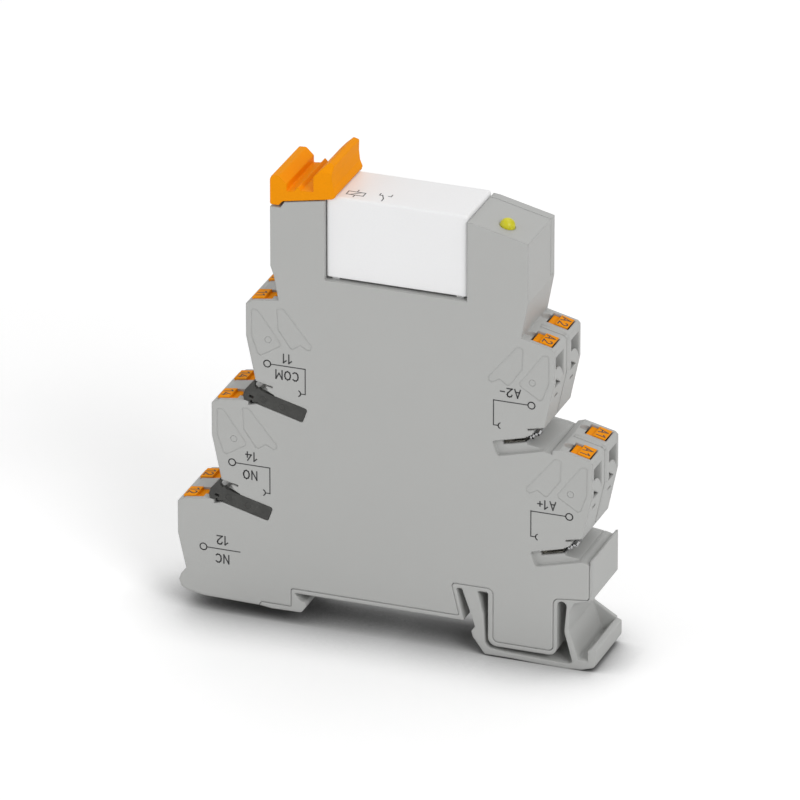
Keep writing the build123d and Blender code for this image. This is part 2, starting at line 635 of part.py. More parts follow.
def relay_coil_parts():
    low, high, tip = BASE_TOP + 1.55, ARMATURE_Z - 0.6, ARMATURE_Z - 0.3
    half = COIL_FLANGE / 2
    core = Pos(COIL_X, 0, (low + tip) / 2) * Cylinder(2.0, tip - low)
    flanges = [block(COIL_X - half, COIL_X + half, -half, half, low, low + 0.8),
               block(COIL_X - half, COIL_X + half, -half, half, high - 0.8, high)]
    bobbin = flanges[0] + flanges[1] + Pos(COIL_X, 0, (low + high) / 2) * Cylinder(2.7, high - low - 0.1)
    bobbin -= Pos(COIL_X, 0, (low + tip) / 2) * Cylinder(2.02, 2 * (tip - low))
    winding = Pos(COIL_X, 0, (low + high) / 2) * (Cylinder(4.6, high - low - 1.7) - Cylinder(2.75, 20))
    return core, bobbin, winding


def relay_armature():
    return block(YOKE_END + 1.0, YOKE_X + 0.6, -4.2, 4.2, ARMATURE_Z, ARMATURE_Z + 0.9)


def relay_contact_spring():
    leaf = block(CONTACT_X - 1.4, YOKE_END + 2.4, -1.9, 1.9, ARMATURE_Z - 0.25, ARMATURE_Z)
    leaf += Pos(CONTACT_X, 0, ARMATURE_Z - 0.1) * Cylinder(1.2, 1.2)
    return leaf


# Retaining bracket

def bracket():
    """Hooked lever over the relay's left end, with the groove for a marker strip."""
    x, z = BARREL
    left, nose, top = TOWER_LEFT, WINDOW[0], LEFT_ARM_TOP
    section = rounded([(left, top - 2.1, 0.35), (left + 1.6, top - 2.1, 0.2), (left + 2.45, top - 1.2, 0),
                       (nose, top + 0.25, 0), (nose + 1.35, top + 0.5, 0), (nose + 1.95, top + 0.8, 0.1),
                       (nose + 2.15, top + 1.5, 0.1), (nose + 1.65, top + 2.7, 0),
                       (nose + 1.45, top + 4.6, 0), (nose + 1.5, top + 6.6, 0.3),
                       (nose + 0.45, top + 6.9, 0.4), (nose - 1.05, top + 5.5, 0.3),
                       (nose - 2.05, top + 4.4, 0), (nose - 2.05, top + 1.4, 0.2),
                       (nose - 4.45, top + 1.3, 0), (left + 5.3, top + 2.0, 0.15),
                       (left + 4.6, top + 1.0, 0.1), (left + 3.15, top + 0.8, 0.2),
                       (left + 3.15, top + 2.2, 0.3), (left + 1.7, top + 3.6, 0.6),
                       (left + 0.3, top + 3.5, 0.3), (left, top + 2.8, 0.4)])
    body = slab(section, NEAR, FAR)
    bevel = Polyline((NEAR - 0.1, top + 5.3), (NEAR + 2.2, top + 7.4), (NEAR - 0.1, top + 7.4), close=True)
    side = Plane(origin=(nose - 2.75, 0, 0), x_dir=(0, 1, 0), z_dir=(1, 0, 0)) * make_face(bevel)
    body -= extrude(side, amount=6, dir=(1, 0, 0))
    y0, y1 = LUG_Y - LUG_THICKNESS / 2 - FIT, LUG_Y + LUG_THICKNESS / 2 + FIT
    slot = rod(x, z, 1.5, y0, y1) + block(left - 0.5, x + 0.9, y0, y1, BARREL_SHELF - 0.05, z + 1.1)
    slot += rod(x, z, JOURNAL_RADIUS + JOURNAL_FIT, y1 - 0.2, y1 + 1.3)
    body -= mirror_pair(slot)
    catch_x = WINDOW[0] - WALL - 2.2
    body -= block(RELAY_LEFT - 0.2, RELAY_LEFT + 4, -RELAY_WIDTH / 2 - 0.1, RELAY_WIDTH / 2 + 0.1,
                  top - 1, RELAY_TOP + FIT)
    return body + block(catch_x, catch_x + 0.9, -3.0, 3.0, top - 2.3, top + 0.6)


# Board and lamp

def circuit_board():
    outline = polygon([(4.0, 12.0), (20.5, 12.0), (20.5, 30.0), (19.5, 30.0), (19.5, 58.3), (25.0, 60.2),
                       (25.0, LAMP_FOOT - 2.2), (WINDOW[1] + 1.5, LAMP_FOOT - 2.2),
                       (WINDOW[1] + 1.5, 54.0), (4.0, 54.0)])
    return slab(outline, BOARD_Y, BOARD_Y + BOARD_THICKNESS)


def right_arm_at(x):
    """Height of the right arm's sloped top."""
    start = WINDOW[1] + 1.1
    return RIGHT_ARM_TOP - (RIGHT_ARM_TOP - RIGHT_ARM_END) * (x - start) / (TOWER_RIGHT - start)


def lamp_lens():
    """Light guide from the lamp on the board to the dome in the right arm's top."""
    foot, shoulder = LAMP_FOOT, right_arm_at(LAMP_X) + 0.1
    guide = Pos(LAMP_X, LAMP_Y, (foot + shoulder) / 2) * Cylinder(LAMP_RADIUS, shoulder - foot)
    dome = Pos(LAMP_X, LAMP_Y, shoulder) * Sphere(LAMP_RADIUS)
    return guide + dome


def leaded(x, radius, length, half):
    """Round body on the board between two wires bent down to it."""
    y, z = BOARD_Y - 1.25, 44.0
    solid = Pos(x, y, z) * Cylinder(radius, length)
    solid += block(x - half, x + half, y - half, y + half, z - 5, z + 5)
    for end in (z - 4.8, z + 4.8):
        solid += block(x - half, x + half, y, BOARD_Y, end - half, end + half)
    return solid


def components():
    """Parts on the near face of the board: name to solid."""
    face = BOARD_Y
    parts = {}
    parts["freewheel_diode"] = leaded(9.0, 1.2, 5.0, 0.35)
    parts["series_resistor"] = leaded(12.2, 1.1, 6.2, 0.3)
    parts["rectifier_bridge"] = block(8.0, 14.0, face - 2.6, face, 25.0, 31.0)
    parts["filter_capacitor"] = Pos(11.0, face - 2.9, 18.5) * (Rot(90, 0, 0) * Cylinder(2.8, 5.8))
    parts["status_led"] = block(LAMP_X - 1.75, LAMP_X + 1.75, LAMP_Y - 1.5, face,
                                LAMP_FOOT - 3.2, LAMP_FOOT - 2.2)
    parts["status_led"] += Pos(LAMP_X, LAMP_Y, LAMP_FOOT - 1.3) * Cylinder(1.2, 1.8)
    return parts


def build():
    """Every node by name."""
    nodes = {"front_housing": front_housing(), "rear_housing": rear_housing()}
    for name in ("11", "14"):
        lower = {"11": "14", "14": "12"}[name]
        nodes[f"slot_cover_{lower}"] = slot_cover(TERMINALS[name])
    nodes["circuit_board"] = circuit_board()
    nodes.update(components())
    nodes["lamp_lens"] = lamp_lens()
    on_board = BOARD_Y - STRIP / 2
    pin = CONTACT_PIN_X
    routes = {"12": (STRIP_Y["12"], [(-12.2, TERMINALS["12"].top - 9.1), (-12.2, 49.0), (pin["nc"], 51.5),
                                     (pin["nc"], FORK_ROOT)]),
              "14": (STRIP_Y["14"], [(pin["no"], TERMINALS["14"].top - 9.1), (pin["no"], FORK_ROOT)]),
              "11": (STRIP_Y["11"], [(pin["com"], TERMINALS["11"].top - 9.1), (pin["com"], FORK_ROOT)]),
              "a1": (on_board, [(17.0, TERMINALS["a1"].top - 9.1)]),
              "a2": (on_board, [(16.2, TERMINALS["a2"].top - 9.1)])}
    for name, terminal in TERMINALS.items():
        web_y, route = routes[name]
        nodes[f"busbar_{name}"] = busbar(terminal, web_y, route)
        if name in BRIDGED:
            nodes[f"busbar_{name}"] += bridge_contact(terminal, web_y)
    for name in TERMINALS:
        for side, y in POINTS.items():
            nodes[f"clamp_spring_{name}_{side}"] = clamp_spring(TERMINALS[name], y)
            nodes[f"push_button_{name}_{side}"] = push_button(TERMINALS[name], y)
    pins = relay_terminals()
    nodes["relay_cap"] = relay_cap()
    nodes["relay_base"] = relay_base(pins)
    nodes["relay_yoke"] = relay_yoke()
    nodes["relay_core"], nodes["relay_bobbin"], nodes["relay_coil"] = relay_coil_parts()
    nodes["relay_armature"] = relay_armature()
    nodes["relay_contact_spring"] = relay_contact_spring()
    for key, solid in pins.items():
        nodes[f"relay_terminal_{key}"] = solid
    for key, name in (("nc", "12"), ("no", "14"), ("com", "11")):
        x = CONTACT_PIN_X[key]
        nodes[f"socket_contact_{key}"] = socket_contact(x, [(x, 55.4), (x, FORK_ROOT)], STRIP_Y[name])
    pitch = PIN_PITCH_Y / 2
    for key, y, aside in (("coil_a", -pitch, -2.2), ("coil_b", pitch, 2.2)):
        nodes[f"socket_contact_{key}"] = coil_socket_contact(y, COIL_PIN_X + aside)
    nodes["retaining_bracket"] = bracket()
    return nodes


os.makedirs("parts", exist_ok=True)
for node, solid in build().items():
    export_step(solid, f"parts/{node}.step")
    print(node, round(solid.volume, 1), len(solid.solids()))
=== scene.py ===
"""Relay module for a top-hat rail: finishes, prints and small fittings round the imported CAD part.

Sizes of the pieces are millimetres until MM makes them metres. Those of the finishes and the studio
are metres. The frame is the part's own: X along the module, Y through its width with the printed side
at -Y, Z away from the rail.
"""

import json
import logging
import math
from dataclasses import dataclass, field
from enum import Enum

import bpy
from mathutils import Matrix, Vector

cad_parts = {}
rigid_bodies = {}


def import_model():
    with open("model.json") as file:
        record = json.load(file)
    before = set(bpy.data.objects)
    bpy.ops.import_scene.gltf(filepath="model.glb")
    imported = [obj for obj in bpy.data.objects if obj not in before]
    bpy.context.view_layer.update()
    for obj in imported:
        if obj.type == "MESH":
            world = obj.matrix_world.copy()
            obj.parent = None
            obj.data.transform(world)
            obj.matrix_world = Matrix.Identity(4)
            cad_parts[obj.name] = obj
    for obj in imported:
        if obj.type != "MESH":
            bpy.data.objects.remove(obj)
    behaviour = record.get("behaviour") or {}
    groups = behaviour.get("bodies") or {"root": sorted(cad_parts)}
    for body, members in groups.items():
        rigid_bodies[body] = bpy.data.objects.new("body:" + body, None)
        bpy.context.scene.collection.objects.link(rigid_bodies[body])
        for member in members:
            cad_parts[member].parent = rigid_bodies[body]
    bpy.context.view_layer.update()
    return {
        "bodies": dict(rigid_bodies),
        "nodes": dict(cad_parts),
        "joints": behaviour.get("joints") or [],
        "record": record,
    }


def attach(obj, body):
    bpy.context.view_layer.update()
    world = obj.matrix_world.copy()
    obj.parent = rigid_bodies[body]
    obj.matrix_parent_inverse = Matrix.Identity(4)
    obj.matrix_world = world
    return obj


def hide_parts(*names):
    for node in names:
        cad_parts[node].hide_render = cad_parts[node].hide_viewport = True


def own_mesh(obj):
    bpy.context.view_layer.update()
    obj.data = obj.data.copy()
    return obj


LOG = logging.getLogger("relay_module")
MM = 0.001
HOUSING_BODY = "housing"
RELAY_BODY = "relay"
NEAR_Y = -7.0 * MM

# Turns of a print from the XY plane: upright on the printed side, and across a button
UPRIGHT = Matrix.Rotation(math.pi / 2, 3, "X")
READ_ACROSS = Matrix.Rotation(-math.pi / 2, 3, "Z")

Colour = tuple[float, float, float]
Point = tuple[float, float]


class Side(Enum):
    """Which end of the module a terminal is on."""

    CONTACT = -1
    COIL = 1


class Row(Enum):
    """Y of a terminal's two connection points."""

    NEAR = -4.15
    FAR = 4.15


@dataclass(frozen=True)
class Terminal:
    """One terminal block, placed by its top corner: end is the corner's distance from X = 0."""

    side: Side
    end: float
    top: float
    slot_inward: float = 1.8
    slot_down: float = 14.9

    def at(self, inward: float, down: float) -> Point:
        """Returns the XZ point that lies inwards and down from the top corner."""
        return self.side.value * (self.end - inward), self.top - down

    def slot_at(self, inward: float, down: float) -> Point:
        """Returns the XZ point that lies inwards and down from the corner of the slot under the block."""
        return self.at(self.slot_inward + inward, self.slot_down + down)


TERMINALS = {
    "12": Terminal(Side.CONTACT, 39.85, 14.9),
    "14": Terminal(Side.CONTACT, 33.1, 35.6),
    "11": Terminal(Side.CONTACT, 26.35, 56.3),
    "a1": Terminal(Side.COIL, 39.85, 34.9),
    "a2": Terminal(Side.COIL, 32.5, 55.7),
}


# Node building


def add_node(tree: bpy.types.NodeTree, kind: str, **values: object) -> bpy.types.Node:
    """Adds a shader node and sets its attributes.

    Args:
        tree: The node tree.
        kind: The node's Blender type.
        values: Attributes of the node.

    Returns:
        The new node.
    """
    node = tree.nodes.new(kind)
    for key, value in values.items():
        setattr(node, key, value)
    return node


def maths(tree: bpy.types.NodeTree, how: str, first: object, second: object) -> bpy.types.NodeSocket:
    """Adds a Math node.

    Args:
        tree: The node tree.
        how: The node's operation.
        first: Socket or number.
        second: Socket or number.

    Returns:
        The result's socket.
    """
    node = add_node(tree, "ShaderNodeMath", operation=how)
    for socket, value in zip(node.inputs, (first, second)):
        if isinstance(value, (int, float)):
            socket.default_value = value
        else:
            tree.links.new(value, socket)
    return node.outputs[0]


def mix_colour(tree: bpy.types.NodeTree, mask: bpy.types.NodeSocket, first: object,
               second: object) -> bpy.types.NodeSocket:
    """Mixes two colours by a mask.

    Args:
        tree: The node tree.
        mask: Socket from 0 to 1.
        first: Colour or socket at 0.
        second: Colour or socket at 1.

    Returns:
        The mixed colour's socket.
    """
    node = add_node(tree, "ShaderNodeMix", data_type="RGBA")
    tree.links.new(mask, node.inputs["Factor"])
    for socket, value in ((node.inputs[6], first), (node.inputs[7], second)):
        if isinstance(value, tuple):
            socket.default_value = (*value, 1.0)
        else:
            tree.links.new(value, socket)
    return node.outputs[2]


def ramp(tree: bpy.types.NodeTree, source: bpy.types.NodeSocket, low: float, high: float,
         to_low: float = 0.0, to_high: float = 1.0) -> bpy.types.NodeSocket:
    """Maps a socket from one range to another, clamped.

    Args:
        tree: The node tree.
        source: The socket.
        low: Start of its range.
        high: End of its range.
        to_low: Result at the start.
        to_high: Result at the end.

    Returns:
        The result's socket.
    """
    node = add_node(tree, "ShaderNodeMapRange")
    tree.links.new(source, node.inputs["Value"])
    for socket, value in zip(node.inputs[1:5], (low, high, to_low, to_high)):
        socket.default_value = value
    return node.outputs[0]


def add_bump(tree: bpy.types.NodeTree, shader: bpy.types.Node, height: bpy.types.NodeSocket,
             strength: float, distance: float, normal: bpy.types.NodeSocket | None = None) -> None:
    """Adds a Bump node in front of a shader's normal.

    Args:
        tree: The node tree.
        shader: The shader.
        height: The relief's socket.
        strength: Strength from 0 to 1.
        distance: Height of the relief in metres.
        normal: Normal that the relief goes over.
    """
    bump = add_node(tree, "ShaderNodeBump")
    bump.inputs["Strength"].default_value = strength
    bump.inputs["Distance"].default_value = distance
    tree.links.new(height, bump.inputs["Height"])
    if normal:
        tree.links.new(normal, bump.inputs["Normal"])
    tree.links.new(bump.outputs[0], shader.inputs["Normal"])


def new_group(name: str, inputs: dict[str, float],
              outputs: dict[str, str]) -> tuple[bpy.types.NodeTree, bpy.types.Node, bpy.types.Node]:
    """Starts a shader node group.

    Args:
        name: The group's name.
        inputs: Float inputs by name, with their defaults.
        outputs: Outputs by name, with their socket types.

    Returns:
        The group, its input node and its output node.
    """
    group = bpy.data.node_groups.new(name, "ShaderNodeTree")
    for key, value in inputs.items():
        socket = group.interface.new_socket(key, in_out="INPUT", socket_type="NodeSocketFloat")
        socket.default_value = value
    for key, kind in outputs.items():
        group.interface.new_socket(key, in_out="OUTPUT", socket_type=kind)
    return group, group.nodes.new("NodeGroupInput"), group.nodes.new("NodeGroupOutput")


def edge_group(gain: float = 5.0) -> bpy.types.NodeTree:
    """Softened edges: a rounded normal and a mask that is 1 on edges.

    Args:
        gain: How fast the mask rises as the rounded normal leaves the face's own.

    Returns:
        The group, with the input Radius and the outputs Mask and Normal.
    """
    group, source, sink = new_group("soft_edges", {"Radius": 0.0002},
                                    {"Mask": "NodeSocketFloat", "Normal": "NodeSocketVector"})
    bevel = add_node(group, "ShaderNodeBevel", samples=4)
    group.links.new(source.outputs["Radius"], bevel.inputs["Radius"])
    plain = add_node(group, "ShaderNodeNewGeometry")
    dot = add_node(group, "ShaderNodeVectorMath", operation="DOT_PRODUCT")
    group.links.new(bevel.outputs[0], dot.inputs[0])
    group.links.new(plain.outputs["Normal"], dot.inputs[1])
    away = maths(group, "SUBTRACT", 1.0, dot.outputs["Value"])
    strong = maths(group, "MULTIPLY", away, gain)
    group.links.new(maths(group, "MINIMUM", strong, 1.0), sink.inputs["Mask"])
    group.links.new(bevel.outputs[0], sink.inputs["Normal"])
    return group


def grain_group(speckle_share: float = 0.4) -> bpy.types.NodeTree:
    """Moulded grain: a fine spark-eroded texture over a broad, faint cloud.

    Args:
        speckle_share: Share of the speckle in the height.

    Returns:
        The group, with the inputs Scale and Cloud and the outputs Height, Cloud and Speckle.
    """
    group, source, sink = new_group("moulded_grain", {"Scale": 2600.0, "Cloud": 70.0},
                                    {"Height": "NodeSocketFloat", "Cloud": "NodeSocketFloat",
                                     "Speckle": "NodeSocketFloat"})
    place = add_node(group, "ShaderNodeTexCoord").outputs["Object"]
    fine = add_node(group, "ShaderNodeTexNoise")
    fine.inputs["Detail"].default_value = 3.0
    broad = add_node(group, "ShaderNodeTexNoise")
    broad.inputs["Detail"].default_value = 2.0
    speck = add_node(group, "ShaderNodeTexVoronoi")
    for node, socket in ((fine, "Scale"), (broad, "Cloud"), (speck, "Scale")):
        group.links.new(place, node.inputs["Vector"])
        group.links.new(source.outputs[socket], node.inputs["Scale"])
    specks = maths(group, "MULTIPLY", speck.outputs[0], speckle_share)
    group.links.new(maths(group, "ADD", fine.outputs[0], specks), sink.inputs["Height"])
    group.links.new(broad.outputs[0], sink.inputs["Cloud"])
    group.links.new(speck.outputs[0], sink.inputs["Speckle"])
    return group


def brush_group(stain_scale: float = 320.0) -> bpy.types.NodeTree:
    """Rolled metal: long fine lines along one direction, with stains.

    Args:
        stain_scale: Scale of the stains.

    Returns:
        The group, with the inputs Fine and Stretch and the outputs Lines and Stain.
    """
    group, source, sink = new_group("rolled_lines", {"Fine": 9000.0, "Stretch": 0.04},
                                    {"Lines": "NodeSocketFloat", "Stain": "NodeSocketFloat"})
    place = add_node(group, "ShaderNodeTexCoord").outputs["Object"]
    parts = add_node(group, "ShaderNodeSeparateXYZ")
    group.links.new(place, parts.inputs[0])
    joined = add_node(group, "ShaderNodeCombineXYZ")
    group.links.new(parts.outputs["X"], joined.inputs["X"])
    along = maths(group, "MULTIPLY", parts.outputs["Y"], source.outputs["Stretch"])
    group.links.new(along, joined.inputs["Y"])
    group.links.new(parts.outputs["Z"], joined.inputs["Z"])
    lines = add_node(group, "ShaderNodeTexNoise")
    group.links.new(joined.outputs[0], lines.inputs["Vector"])
    group.links.new(source.outputs["Fine"], lines.inputs["Scale"])
    stain = add_node(group, "ShaderNodeTexNoise")
    stain.inputs["Scale"].default_value = stain_scale
    group.links.new(place, stain.inputs["Vector"])
    group.links.new(lines.outputs[0], sink.inputs["Lines"])
    group.links.new(stain.outputs[0], sink.inputs["Stain"])
    return group


class Groups:
    """The shared node groups, built once."""

    def __init__(self) -> None:
        """Builds the three groups."""
        self.edge = edge_group()
        self.grain = grain_group()
        self.brush = brush_group()

    @staticmethod
    def place(tree: bpy.types.NodeTree, group: bpy.types.NodeTree, **values: float) -> bpy.types.Node:
        """Puts a group into a material.

        Args:
            tree: The material's node tree.
            group: The shared group.
            values: The group's inputs.

        Returns:
            The group node.
        """
        node = add_node(tree, "ShaderNodeGroup", node_tree=group)
        for key, value in values.items():
            node.inputs[key].default_value = value
        return node


def start_material(name: str) -> tuple[bpy.types.Material, bpy.types.NodeTree, bpy.types.Node]:
    """Starts a node material.

    Args:
        name: The material's name.

    Returns:
        The material, its node tree and its shader.
    """
    material = bpy.data.materials.new(name)
    material.use_nodes = True
    return material, material.node_tree, material.node_tree.nodes["Principled BSDF"]


def shade(colour: Colour, factor: float) -> Colour:
    """Returns a colour made lighter or darker."""
    return tuple(min(1.0, c * factor) for c in colour)


# Finishes


@dataclass(frozen=True)
class MouldedFinish:
    """Injection-moulded plastic with a spark-eroded grain and a painted highlight that lightens the edges."""

    name: str
    colour: Colour
    roughness: float = 0.55
    grain: float = 0.12
    scale: float = 2600.0
    cloud: float = 70.0
    variation: float = 0.035
    edge_radius: float = 0.00018
    edge_light: float = 1.16
    specular: float = 0.4
    rough_span: float = 0.05
    relief: float = 0.04 * MM

    def build(self, groups: Groups) -> bpy.types.Material:
        """Builds the material.

        Args:
            groups: The shared node groups.

        Returns:
            The finished material.
        """
        material, tree, shader = start_material(self.name)
        grain = groups.place(tree, groups.grain, Scale=self.scale, Cloud=self.cloud)
        edge = groups.place(tree, groups.edge, Radius=self.edge_radius)
        low, high = shade(self.colour, 1 - self.variation), shade(self.colour, 1 + self.variation)
        body = mix_colour(tree, ramp(tree, grain.outputs["Cloud"], 0.35, 0.65), low, high)
        speck = ramp(tree, grain.outputs["Speckle"], 0.0, 0.9, 0.0, 0.5)
        body = mix_colour(tree, speck, body, shade(self.colour, 1 - 2 * self.variation))
        # Painted highlight: the colour turns lighter on the edges, where the rounded normal leaves the face's
        # own
        wear_and_edge_highlight = ramp(tree, edge.outputs["Mask"], 0.05, 0.9, 0.0, 0.6)
        body = mix_colour(tree, wear_and_edge_highlight, body, shade(self.colour, self.edge_light))
        tree.links.new(body, shader.inputs["Base Color"])
        rough = ramp(tree, grain.outputs["Cloud"], 0.3, 0.7, self.roughness - self.rough_span,
                     self.roughness + self.rough_span)
        tree.links.new(rough, shader.inputs["Roughness"])
        add_bump(tree, shader, grain.outputs["Height"], self.grain, self.relief, edge.outputs["Normal"])
        shader.inputs["Specular IOR Level"].default_value = self.specular
        return material


@dataclass(frozen=True)
class MetalFinish:
    """Rolled or plated metal with fine lines, faint stains and a painted highlight on the edges."""

    name: str
    colour: Colour
    roughness: float = 0.32
    fine: float = 9000.0
    stretch: float = 0.04
    stain: float = 0.75
    edge_radius: float = 0.1 * MM
    edge_light: float = 1.2
    strength: float = 0.1
    relief: float = 0.02 * MM

    def build(self, groups: Groups) -> bpy.types.Material:
        """Builds the material.

        Args:
            groups: The shared node groups.

        Returns:
            The finished material.
        """
        material, tree, shader = start_material(self.name)
        lines = groups.place(tree, groups.brush, Fine=self.fine, Stretch=self.stretch)
        edge = groups.place(tree, groups.edge, Radius=self.edge_radius)
        clean = ramp(tree, lines.outputs["Stain"], 0.35, 0.7)
        body = mix_colour(tree, clean, shade(self.colour, self.stain), self.colour)
        # Painted highlight: the colour turns lighter on the edges
        body = mix_colour(tree, edge.outputs["Mask"], body, shade(self.colour, self.edge_light))
        tree.links.new(body, shader.inputs["Base Color"])
        rough = ramp(tree, lines.outputs["Lines"], 0.3, 0.7, self.roughness - 0.08, self.roughness + 0.1)
        tree.links.new(rough, shader.inputs["Roughness"])
        shader.inputs["Metallic"].default_value = 1.0
        add_bump(tree, shader, lines.outputs["Lines"], self.strength, self.relief, edge.outputs["Normal"])
        return material


@dataclass(frozen=True)
class LensFinish:
    """Tinted translucent plastic of the lamp's light guide."""

    name: str
    colour: Colour
    scatter: Colour = (0.8, 0.8, 0.2)
    depth: float = 0.8 * MM

    def build(self, groups: Groups) -> bpy.types.Material:
        """Builds the material.

        Args:
            groups: The shared node groups.

        Returns:
            The finished material.
        """
        material, tree, shader = start_material(self.name)
        grain = groups.place(tree, groups.grain, Scale=900.0, Cloud=260.0)
        cloud = ramp(tree, grain.outputs["Cloud"], 0.35, 0.65)
        body = mix_colour(tree, cloud, shade(self.colour, 0.88), shade(self.colour, 1.08))
        tree.links.new(body, shader.inputs["Base Color"])
        tree.links.new(ramp(tree, grain.outputs["Cloud"], 0.3, 0.7, 0.3, 0.45), shader.inputs["Roughness"])
        shader.inputs["Subsurface Weight"].default_value = 0.35
        shader.inputs["Subsurface Radius"].default_value = self.scatter
        shader.inputs["Subsurface Scale"].default_value = self.depth
        shader.inputs["Coat Weight"].default_value = 0.15
        return material


@dataclass(frozen=True)
class PrintFinish:
    """Pad-printed ink, slightly thin in places."""

    name: str
    colour: Colour
    thin: Colour

    def build(self, groups: Groups) -> bpy.types.Material:
        """Builds the material.

        Args:
            groups: The shared node groups.

        Returns:
            The finished material.
        """
        material, tree, shader = start_material(self.name)
        grain = groups.place(tree, groups.grain, Scale=5200.0, Cloud=900.0)
        # Here the mask marks only where the ink is thin
        wear_and_edge_highlight = ramp(tree, grain.outputs["Cloud"], 0.55, 0.85, 0.0, 0.5)
        tree.links.new(mix_colour(tree, wear_and_edge_highlight, self.colour, self.thin), shader.inputs["Base Color"])
        tree.links.new(ramp(tree, grain.outputs["Height"], 0.3, 0.9, 0.5, 0.7), shader.inputs["Roughness"])
        return material


@dataclass(frozen=True)
class WindingFinish:
    """Enamelled wire, turn beside turn round the bobbin, with painted shade between the turns."""

    name: str
    colour: Colour
    turns: float = 1600.0
    # How dark the painted shade between the turns is
    between: float = 0.45
    strength: float = 0.6
    relief: float = 0.1 * MM

    def build(self, groups: Groups) -> bpy.types.Material:
        """Builds the material.

        Args:
            groups: The shared node groups.

        Returns:
            The finished material.
        """
        material, tree, shader = start_material(self.name)
        place = add_node(tree, "ShaderNodeTexCoord").outputs["Object"]
        turns = add_node(tree, "ShaderNodeTexWave", bands_direction="Z")
        turns.inputs["Scale"].default_value = self.turns
        tree.links.new(place, turns.inputs["Vector"])
        lines = groups.place(tree, groups.brush, Fine=4000.0, Stretch=1.0)
        # Painted shade: darker colour between the turns, in the grooves where the wires meet
        body = mix_colour(tree, turns.outputs["Fac"], shade(self.colour, self.between), self.colour)
        tree.links.new(body, shader.inputs["Base Color"])
        tree.links.new(ramp(tree, lines.outputs["Stain"], 0.3, 0.7, 0.25, 0.4), shader.inputs["Roughness"])
        shader.inputs["Metallic"].default_value = 0.8
        add_bump(tree, shader, turns.outputs["Fac"], self.strength, self.relief)
        return material


ALL_FINISHES = (
    MouldedFinish("housing_grey", (0.45, 0.453, 0.442), roughness=0.55, variation=0.008, grain=0.04,
                  edge_radius=0.0005, edge_light=1.3),
    MouldedFinish("cover_black", (0.058, 0.058, 0.054), roughness=0.5, edge_light=1.7, variation=0.2,
                  cloud=420.0),
    MouldedFinish("orange_plastic", (0.9, 0.305, 0.001), roughness=0.6, edge_light=1.1, variation=0.03,
                  grain=0.06, specular=0.08),
    MouldedFinish("relay_white", (0.87, 0.87, 0.875), roughness=0.4, edge_light=1.05, variation=0.01,
                  grain=0.04, edge_radius=0.00025),
    MouldedFinish("bobbin_plastic", (0.62, 0.58, 0.45), roughness=0.5),
    MouldedFinish("board_green", (0.03, 0.2, 0.08), roughness=0.35, variation=0.15, scale=1200.0,
                  specular=0.6),
    MouldedFinish("component_black", (0.03, 0.03, 0.032), roughness=0.45, edge_light=2.0, variation=0.1),
    MouldedFinish("component_beige", (0.55, 0.42, 0.26), roughness=0.35, variation=0.06),
    MetalFinish("can_metal", (0.72, 0.72, 0.74), roughness=0.3),
    MetalFinish("strip_metal", (0.76, 0.74, 0.68), roughness=0.28),
    MetalFinish("spring_steel", (0.6, 0.6, 0.61), roughness=0.25),
    MetalFinish("spring_bronze", (0.7, 0.47, 0.25), roughness=0.3),
    MetalFinish("relay_iron", (0.56, 0.57, 0.58), roughness=0.38, stretch=0.3),
    WindingFinish("coil_copper", (0.72, 0.27, 0.12)),
    LensFinish("lamp_yellow", (0.62, 0.58, 0.008)),
    PrintFinish("dark_ink", (0.055, 0.055, 0.056), (0.12, 0.12, 0.12)),
    PrintFinish("grey_ink", (0.12, 0.12, 0.125), (0.35, 0.35, 0.35)),
)
FINISHES = {finish.name: finish for finish in ALL_FINISHES}


class Palette:
    """Builds each finish the first time that it is asked for."""

    def __init__(self) -> None:
        """Starts with the shared groups and no material."""
        self.groups = Groups()
        self.made: dict[str, bpy.types.Material] = {}

    def get(self, name: str) -> bpy.types.Material:
        """Looks a material up, and builds it if need be.

        Args:
            name: The finish's name.

        Returns:
            The material.
        """
        if name not in self.made:
            self.made[name] = FINISHES[name].build(self.groups)
        return self.made[name]


# Mesh helpers


def clear_selection() -> None:
    """Deselects every object."""
    bpy.ops.object.select_all(action="DESELECT")


def only(piece: bpy.types.Object) -> None:
    """Selects one object alone and makes it active.

    Args:
        piece: The object.
    """
    clear_selection()
    piece.select_set(True)
    bpy.context.view_layer.objects.active = piece


def settle(piece: bpy.types.Object) -> bpy.types.Object:
    """Puts a piece's place, turn and scale into its mesh.

    Args:
        piece: The piece.

    Returns:
        The same piece.
    """
    only(piece)
    bpy.ops.object.transform_apply(location=True, rotation=True, scale=True)
    return piece


def twin(piece: bpy.types.Object) -> bpy.types.Object:
    """Copies an object with a mesh of its own.

    Args:
        piece: The object.

    Returns:
        The copy, in the same place.
    """
    copy = piece.copy()
    copy.data = piece.data.copy()
    bpy.context.collection.objects.link(copy)
    return copy


def merged_copy(node: bpy.types.Object, name: str) -> bpy.types.Object:
    """Copies a CAD node and merges its loose triangles.

    Args:
        node: The node.
        name: Name of the copy.

    Returns:
        The copy, in the node's place.
    """
    piece = twin(node)
    piece.name = name
    only(piece)
    bpy.ops.object.mode_set(mode="EDIT")
    bpy.ops.mesh.select_all(action="SELECT")
    bpy.ops.mesh.remove_doubles(threshold=0.001 * MM)
    bpy.ops.object.mode_set(mode="OBJECT")
    return piece


def join(pieces: list[bpy.types.Object], name: str) -> bpy.types.Object:
    """Joins pieces into one.

    Args:
        pieces: The pieces.
        name: Name of the result.

    Returns:
        The joined piece.
    """
    only(pieces[0])
    for piece in pieces[1:]:
        piece.select_set(True)
    bpy.ops.object.join()
    joined = bpy.context.view_layer.objects.active
    joined.name = name
    joined.data.name = name
    return joined


